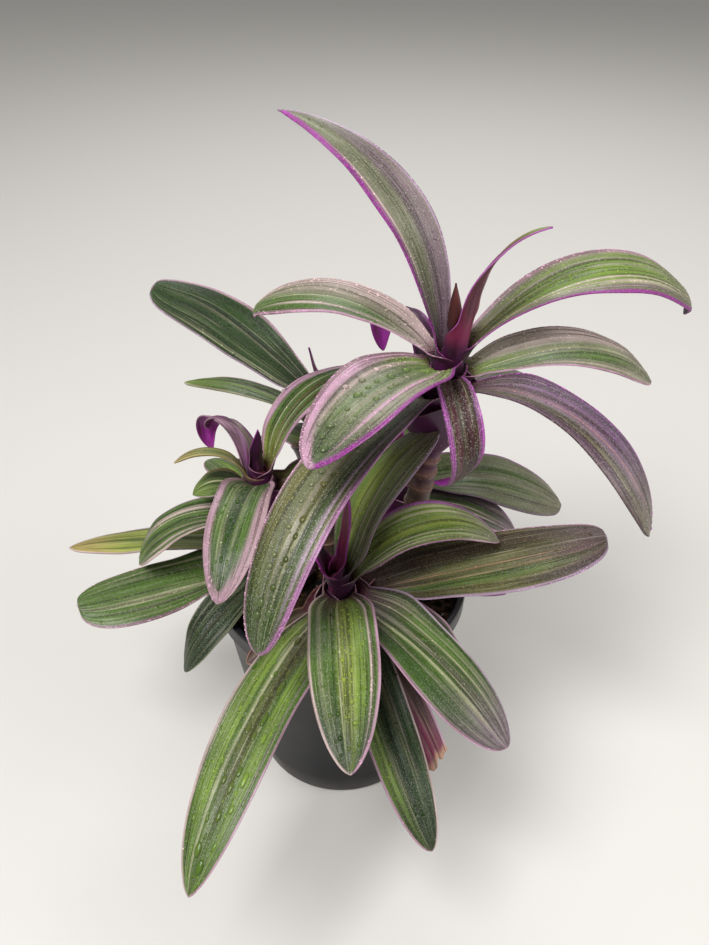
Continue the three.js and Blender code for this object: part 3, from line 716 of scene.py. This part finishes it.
# Bends flat (share, offset) pairs into the leaf: places in mm and the way its upper skin faces.
def bladeSurface(shoot, leaf, share, offset, seed):
    side = (offset + 1) / 2
    frames, radius = bladeFrames(shoot, leaf)
    if leaf["torn"]:  # the end broke off slanting and ragged
        share = share * (1 - 0.05 * (1 - offset) - 0.035 * softNoise(side, share * 0, (9, 1), seed))
    steps = np.linspace(0, 1, blade["steps"] + 1)
    part = np.stack([np.interp(share, steps, column) for column in frames.T], axis=-1)
    place, across, normal = part[:, 0:3], part[:, 3:6], part[:, 6:9]
    # The foot clasps the stem further round than the solid's does.
    clasp = sheathOf(leaf, share, 0.4, 1.1, leaf["clasp"])
    half = lerp(widthAt(leaf, share) / 2, radius * blade["claspAngle"], clasp)
    fold = lerp(foldAt(leaf, share, radius), blade["claspAngle"], clasp)
    lean = np.random.default_rng(seed).uniform(-0.25, 0.25)  # one side folds up more than the other
    angle = offset * fold * (1 + lean * offset * smooth(0.2, 0.5, share))
    outward = half / fold * np.sin(angle)
    raised = half / fold * (1 - np.cos(angle))
    skin = normal * np.cos(angle)[:, None] - across * np.sin(angle)[:, None]
    fromMiddle = offset * half
    opened = smooth(0.08, 0.3, share)
    groove = np.exp(-(fromMiddle / blade["grooveWidth"]) ** 2) * (1 - smooth(0.6, 0.95, share))
    relief = -blade["groove"] * groove
    relief += leaf["ribs"] * np.sin(fromMiddle * blade["ribRate"] + seed) * (1 - offset ** 2) * opened
    waves = (softNoise(side, share, (1, 7), seed + 1) - 0.5) * leaf["crinkle"]
    relief += blade["waves"] * waves * offset ** 2 * opened * np.minimum(1, half / 8)  # along the margins
    dents = softNoise(side, share, (2, 4), seed + 2) - 0.5
    relief += blade["dents"] * dents * opened * np.minimum(1, half / 10)  # less where it is narrow
    place = place + across * outward[:, None] + normal * raised[:, None] + skin * relief[:, None]
    return place, skin


# Broad stripes, margins and the change of colour from base to tip.
def paintBlade(leaf, share, offset, seed):
    share, offset = share[:, None], offset[:, None]
    side = (offset + 1) / 2
    broad = softNoise(side, share, (7, 2), seed + 3)
    fine = softNoise(side, share, (22, 3), seed + 4)
    bands = softNoise(side, share, (17, 1), seed + 5)
    half = widthAt(leaf, share) / 2
    young = leaf["kind"] == "young"
    body, base, tip = (pigment(name) for name in leaf["paint"].split())
    colours = lerp(body, pigment("plum" if young else "pine"), smooth(0.6, 0.95, broad) * 0.4)
    if not young:  # dark and pale bands
        colours = colours * (1 - 0.28 * smooth(0.6, 0.78, bands))
        colours = lerp(colours, pigment("cream"), (1 - smooth(0.18, 0.34, bands)) * 0.1)
    # Towards the foot the blade turns to its base colour, partly its own and partly painted shade near the
    # crown.
    colours = lerp(colours, base, 1 - smooth(0.08, 0.36 + 0.12 * broad, share))
    # Towards the end it turns to its tip colour, partly its own and partly painted shade on tips that turn
    # away from the light.
    colours = lerp(colours, tip, smooth(0.6, 0.96, share + 0.14 * (fine - 0.5)) * 0.85)
    for number, (place, reach, name) in enumerate(leaf["stripes"]):
        wander = 0.05 * (softNoise(share * 0, share, (1, 4), seed + 10 + number) - 0.5)
        edge = np.abs(offset - place - wander) / reach
        length = smooth(0.04, 0.2, share) * (1 - 0.75 * smooth(0.65, 0.95, share))
        colours = lerp(colours, pigment(name), (1 - smooth(0.5, 1.4, edge)) * length * (0.5 + 0.4 * fine))
    colours = colours * (0.86 + 0.22 * fine)
    left, leftWidth, right, rightWidth = leaf["rims"]
    for sign, name, width in ((1, left, leftWidth), (-1, right, rightWidth)):
        distance = (1 + sign * offset) * half
        reach = width * (0.5 + 0.55 * smooth(0.05, 0.5, share)) * (0.8 + 0.4 * broad)
        amount = 1 - smooth(0.55, 1.2, distance / np.maximum(reach, 0.05))
        colours = lerp(colours, pigment(name), amount * 0.9)
        edge = 1 - smooth(0.15, 0.6, distance)
        colours = lerp(colours, pigment(name) * 0.8, edge * 0.5)
    colours = lerp(colours, pigment("crimson") * 0.8, sheathOf(leaf, share, 0.5, 1.5) * 0.75)
    if leaf["torn"]:
        colours = lerp(colours, pigment("tan"), smooth(0.94, 0.985, share))
    return np.clip(colours, 0, 1)


# The spray left a fine mist of beads, with larger ones in rows along the ribs and along some margins.

spray = {  # radii in mm
    "mist": (0.15, 0.22),  # the least, and what chance adds
    "oddShare": 0.06,  # of the mist's beads have run together
    "odd": (0.38, 0.6),
    "rim": (0.18, 0.36),
    "rimSpacing": 0.9,  # beads per mm of length
    "largest": 0.12,  # of the blade's width
    "height": (0.5, 0.7),  # of the radius
    "sunk": 0.03,
}
beads = []  # each water bead as (shoot, place, facing, onward, radius, stretch, colour)


def strewBeads(name, shoot, leaf, seed):
    count = int(leaf["beads"] * leaf["length"] * leaf["width"])
    if not count:
        return
    own = np.random.default_rng(seed + 50)
    share, offset = own.uniform(0.06, 0.98, count), own.uniform(-0.94, 0.94, count)
    size = spray["mist"][0] + spray["mist"][1] * own.random(count) ** 2
    size = np.where(own.random(count) < spray["oddShare"], own.uniform(*spray["odd"], count), size)
    groups = [(share, offset, size)]
    for place, rowCount, least, most in leaf["drops"]:
        steps = (np.arange(rowCount) + own.uniform(0.1, 0.9, rowCount)) / rowCount
        groups.append((lerp(0.18, 0.93, steps), place + own.normal(0, 0.035, rowCount),
                       own.uniform(least, most, rowCount)))
    if leaf["kind"] in ("grey", "green"):
        rimCount = int(leaf["length"] * spray["rimSpacing"])
        groups.append((own.uniform(0.05, 0.97, rimCount), np.where(own.random(rimCount) < 0.6, -0.98, 0.98),
                       own.uniform(*spray["rim"], rimCount)))
    share, offset, size = (np.concatenate(column) for column in zip(*groups))
    size = np.minimum(size, widthAt(leaf, share) * spray["largest"])
    place, skin = bladeSurface(shoot, leaf, share, offset, seed)
    onward, _ = bladeSurface(shoot, leaf, share + 0.01, offset, seed)
    thickness = blade["visibleThickness"] * lerp(1, blade["marginShare"], offset ** 2)
    place = place + skin * (thickness / 2 - spray["sunk"])[:, None]
    colours = paintBlade(leaf, share, offset, seed)
    for number in range(len(share)):
        if skin[number][2] > 0.05:  # none hangs under a blade that has turned over
            stretch = own.uniform(0.85, 1.3) * (leaf["smear"] if size[number] > 0.4 else 1)
            beads.append((name, place[number], skin[number], onward[number] - place[number], size[number],
                          stretch, colours[number]))


def makeLeaf(name, shoot, number, leaf):
    seed = number * 13 + sum(map(ord, name))
    deselect()
    bpy.ops.mesh.primitive_grid_add(x_subdivisions=blade["columns"], y_subdivisions=blade["rows"], size=2)
    piece = bpy.context.object
    flat = placesOf(piece)
    offset, onward = flat[:, 0].copy(), (flat[:, 1] + 1) / 2
    share = 0.35 * onward + 0.65 * (0.5 - 0.5 * np.cos(math.pi * onward))  # closer rows at base and tip
    place, skin = bladeSurface(shoot, leaf, share, offset, seed)
    piece.data.vertices.foreach_set("co", (place * mm).ravel())
    giveColours(piece, "bladePaint", paintBlade(leaf, share, offset, seed), leaf["wet"])
    under = lerp(pigment(leaf["under"]), pigment("plum"), sheathOf(leaf, share[:, None], 0.5, 1.5))
    underTip = pigment(leaf.get("underTip", leaf["under"]))
    giveColours(piece, "underPaint", lerp(under, underTip, smooth(0.64, 0.78, share)[:, None]))
    layer = piece.data.attributes.new("bladePlace", "FLOAT_VECTOR", "POINT")
    inMm = np.column_stack([offset * leaf["width"] / 2, share * leaf["length"], share * 0 + seed * 7.0])
    layer.data.foreach_set("vector", inMm.astype(np.float32).ravel())
    group = piece.vertex_groups.new(name="thick")
    for level in range(11):
        members = np.nonzero(np.round((1 - offset ** 2) * 10) == level)[0]
        group.add(members.tolist(), level / 10, "REPLACE")
    wall = piece.modifiers.new("flesh", "SOLIDIFY")
    wall.thickness = blade["visibleThickness"] * mm
    wall.offset = 0
    wall.vertex_group = group.name
    wall.thickness_vertex_group = blade["marginShare"]
    wall.material_offset = 1
    wall.material_offset_rim = 0
    piece.data.materials.append(materials[leaf["kind"]])
    piece.data.materials.append(materials["under"])
    bpy.ops.object.modifier_apply(modifier=wall.name)
    bpy.ops.object.shade_smooth_by_angle(angle=math.radians(55))
    piece.vertex_groups.clear()
    finishPiece(piece, f"{name}Leaf{number:02d}", f"{name}_leaf_{number:02d}")
    strewBeads(name, shoot, leaf, seed)


for name, shoot in shoots.items():
    for number, leaf in enumerate(shoot["leaves"], 1):
        makeLeaf(name, shoot, number, leaf)
print("leaves made, beads to place", len(beads))


# Water beads: one dome is modelled, then copied to each place

def makeDome(segments, rings):
    deselect()
    bpy.ops.mesh.primitive_uv_sphere_add(segments=segments, ring_count=rings, radius=1)
    bpy.ops.object.mode_set(mode="EDIT")
    bpy.ops.mesh.select_all(action="SELECT")
    bpy.ops.mesh.bisect(plane_co=(0, 0, -0.1), plane_no=(0, 0, 1), clear_inner=True, use_fill=True)
    bpy.ops.object.mode_set(mode="OBJECT")
    return shapeOf(bpy.context.object)


# Copies (points, faces) to each (place, axes) and joins them in one mesh.
def copyShapes(name, shape, placings, material, colours=None):
    points, faces = shape
    allPoints = np.concatenate([points @ axes.T + place for place, axes in placings]) * mm
    allFaces = [tuple(index + number * len(points) for index in face)
                for number in range(len(placings)) for face in faces]
    mesh = bpy.data.meshes.new(name)
    mesh.from_pydata(allPoints.tolist(), [], allFaces)
    piece = bpy.data.objects.new(name, mesh)
    bpy.context.scene.collection.objects.link(piece)
    mesh.materials.append(material)
    if colours is not None:
        giveColours(piece, "bladePaint", colours)
    selectOnly(piece)
    bpy.ops.object.shade_smooth()
    return piece


def beadAxes(facing, onward, radius, stretch):
    facing = facing / np.linalg.norm(facing)
    onward = onward - facing * onward.dot(facing)
    onward = onward / np.linalg.norm(onward)
    height = radius * draw.uniform(*spray["height"])
    return np.column_stack([np.cross(facing, onward) * radius, onward * radius * stretch, facing * height])


# Of each sort of bead: dome, material, radii in mm, and the paint's strength at its rim and its top: painted
# shade and light.
sorts = {
    "Fine": (makeDome(7, 4), "mist", (0, 0.42), (1.0, 1.7)),
    "Large": (makeDome(16, 10), "drops", (0.42, 9), (0.6, 1.15)),
}
for name in shoots:
    for sort, (dome, material, (least, most), rimShadeAndTopLight) in sorts.items():
        chosen = [bead for bead in beads if bead[0] == name and least <= bead[4] < most]
        if chosen:
            placings = [(bead[1], beadAxes(*bead[2:6])) for bead in chosen]
            # Painted shade and light: each bead takes its skin's colour, darker towards the rim and lighter
            # towards the top.
            shading = lerp(*rimShadeAndTopLight, np.clip(dome[0][:, 2:], 0, 1))
            colours = np.concatenate([bead[6] * shading for bead in chosen])
            piece = copyShapes(f"{name}{sort}Beads", dome, placings, materials[material], colours)
            finishPiece(piece, piece.name)
print("beads made")


# Potting mix: a heaped body with crumbs, bark chips and perlite on top

heap = {
    "seed": 4,
    "spread": 110,  # mm across the square that the noise covers
    "bumps": 3.0,
    "grains": 1.6,
    "rings": 34,
    "segments": 120,
}
strewn = {  # of each piece: count, sizes in mm, shape, material and seed
    "peatCrumbs": (1500, (0.5, 1.5), (1, 1, 0.8), "soil", 21),
    "barkCrumbs": (750, (0.6, 1.8), (1, 0.8, 0.7), "crumbs", 22),
    "barkChips": (130, (1.6, 3.4), (1.4, 0.7, 0.3), "crumbs", 23),
    "perliteGrains": (90, (0.5, 1.2), (1, 1, 0.9), "perlite", 24),
}


def soilHeight(x, y):
    share = np.hypot(x, y) / (potRadiusAt(soil["top"]) - pot["wall"])
    across, along = x / heap["spread"] + 0.5, y / heap["spread"] + 0.5
    bumps = softNoise(across, along, (14, 14), heap["seed"]) - 0.5
    grains = softNoise(across, along, (46, 46), heap["seed"] + 1) - 0.5
    return soil["top"] + soil["crown"] * (1 - share ** 2) + heap["bumps"] * bumps + heap["grains"] * grains


def makeSoil():
    top = potRadiusAt(soil["top"]) - pot["wall"] - 0.3
    foot = potRadiusAt(pot["floor"]) - pot["wall"] - 0.5
    rings = [(top * share, soil["top"]) for share in np.linspace(1, 0.02, heap["rings"])]
    piece = turnProfile([(foot, pot["floor"] + 0.3), (top, soil["top"] - 1)] + rings, heap["segments"])
    places = placesOf(piece) / mm
    onTop = places[:, 2] > soil["top"] - 0.5
    places[onTop, 2] = soilHeight(places[onTop, 0], places[onTop, 1])
    piece.data.vertices.foreach_set("co", (places * mm).ravel())
    bpy.ops.object.shade_smooth_by_angle(angle=math.radians(50))
    piece.data.materials.append(materials["soil"])
    finishPiece(piece, "pottingMix", "soil")


def makeCrumb(seed):
    own = np.random.default_rng(seed)
    deselect()
    bpy.ops.mesh.primitive_ico_sphere_add(subdivisions=1, radius=1)
    points, faces = shapeOf(bpy.context.object)
    return points * own.uniform(0.65, 1.2, (len(points), 1)), faces


def strewCrumbs(name, count, sizes, shape, material, seed):
    own = np.random.default_rng(seed)
    placings = []
    reach = potRadiusAt(soil["top"]) - pot["wall"] - 1.5
    for _ in range(count):
        distance, angle = reach * math.sqrt(own.random()), own.uniform(0, 2 * math.pi)
        x, y = distance * math.cos(angle), distance * math.sin(angle)
        size = own.uniform(*sizes)
        turn = Quaternion((own.normal(), own.normal(), own.normal(), own.normal())).normalized()
        if shape[2] < 0.5:  # flat chips lie down
            turn = Quaternion(upward, own.uniform(0, 6.28)) @ Quaternion((1, 0, 0), own.normal() * 0.35)
        height = float(soilHeight(np.array(x), np.array(y))) + size * shape[2] * 0.3
        axes = np.array(turn.to_matrix()) @ np.diag(np.array(shape) * size)
        placings.append((np.array([x, y, height]), axes))
    piece = copyShapes(name, makeCrumb(seed), placings, materials[material])
    bpy.ops.object.shade_flat()
    finishPiece(piece, name, None)


makeSoil()
for name, row in strewn.items():
    strewCrumbs(name, *row)
print("potting mix made")


# Floor and studio light

studio = {  # of each lamp: place, size and watts
    "keySoftbox": ((-0.35, -0.55, 1.1), 0.5, 13.5),
    "sideSoftbox": ((0.95, -0.25, 0.7), 0.6, 4.5),
    "backSoftbox": ((0.15, 0.9, 1.0), 0.6, 5),
}
aim = Vector((0, 0, 0.15))  # the middle of the plant


def makeStudio():
    deselect()
    bpy.ops.mesh.primitive_plane_add(size=12)
    floor = bpy.context.object
    floor.name = "floor"
    material, _ = newMaterial("matt pale floor", {"Base Color": linear("#dedbd6"), "Roughness": 0.9})
    floor.data.materials.append(material)
    for name, (place, size, watts) in studio.items():
        turn = (Vector(place) - aim).to_track_quat("Z", "Y").to_euler()
        bpy.ops.object.light_add(type="AREA", location=place, rotation=turn)
        bpy.context.object.name = name
        bpy.context.object.data.size = size
        bpy.context.object.data.energy = watts
    world = bpy.data.worlds.new("studio")
    bpy.context.scene.world = world
    world.use_nodes = True
    background = world.node_tree.nodes["Background"].inputs
    background["Color"].default_value = linear("#efeeec")
    background["Strength"].default_value = 0.29
    bpy.context.scene.view_settings.view_transform = "Standard"


makeStudio()
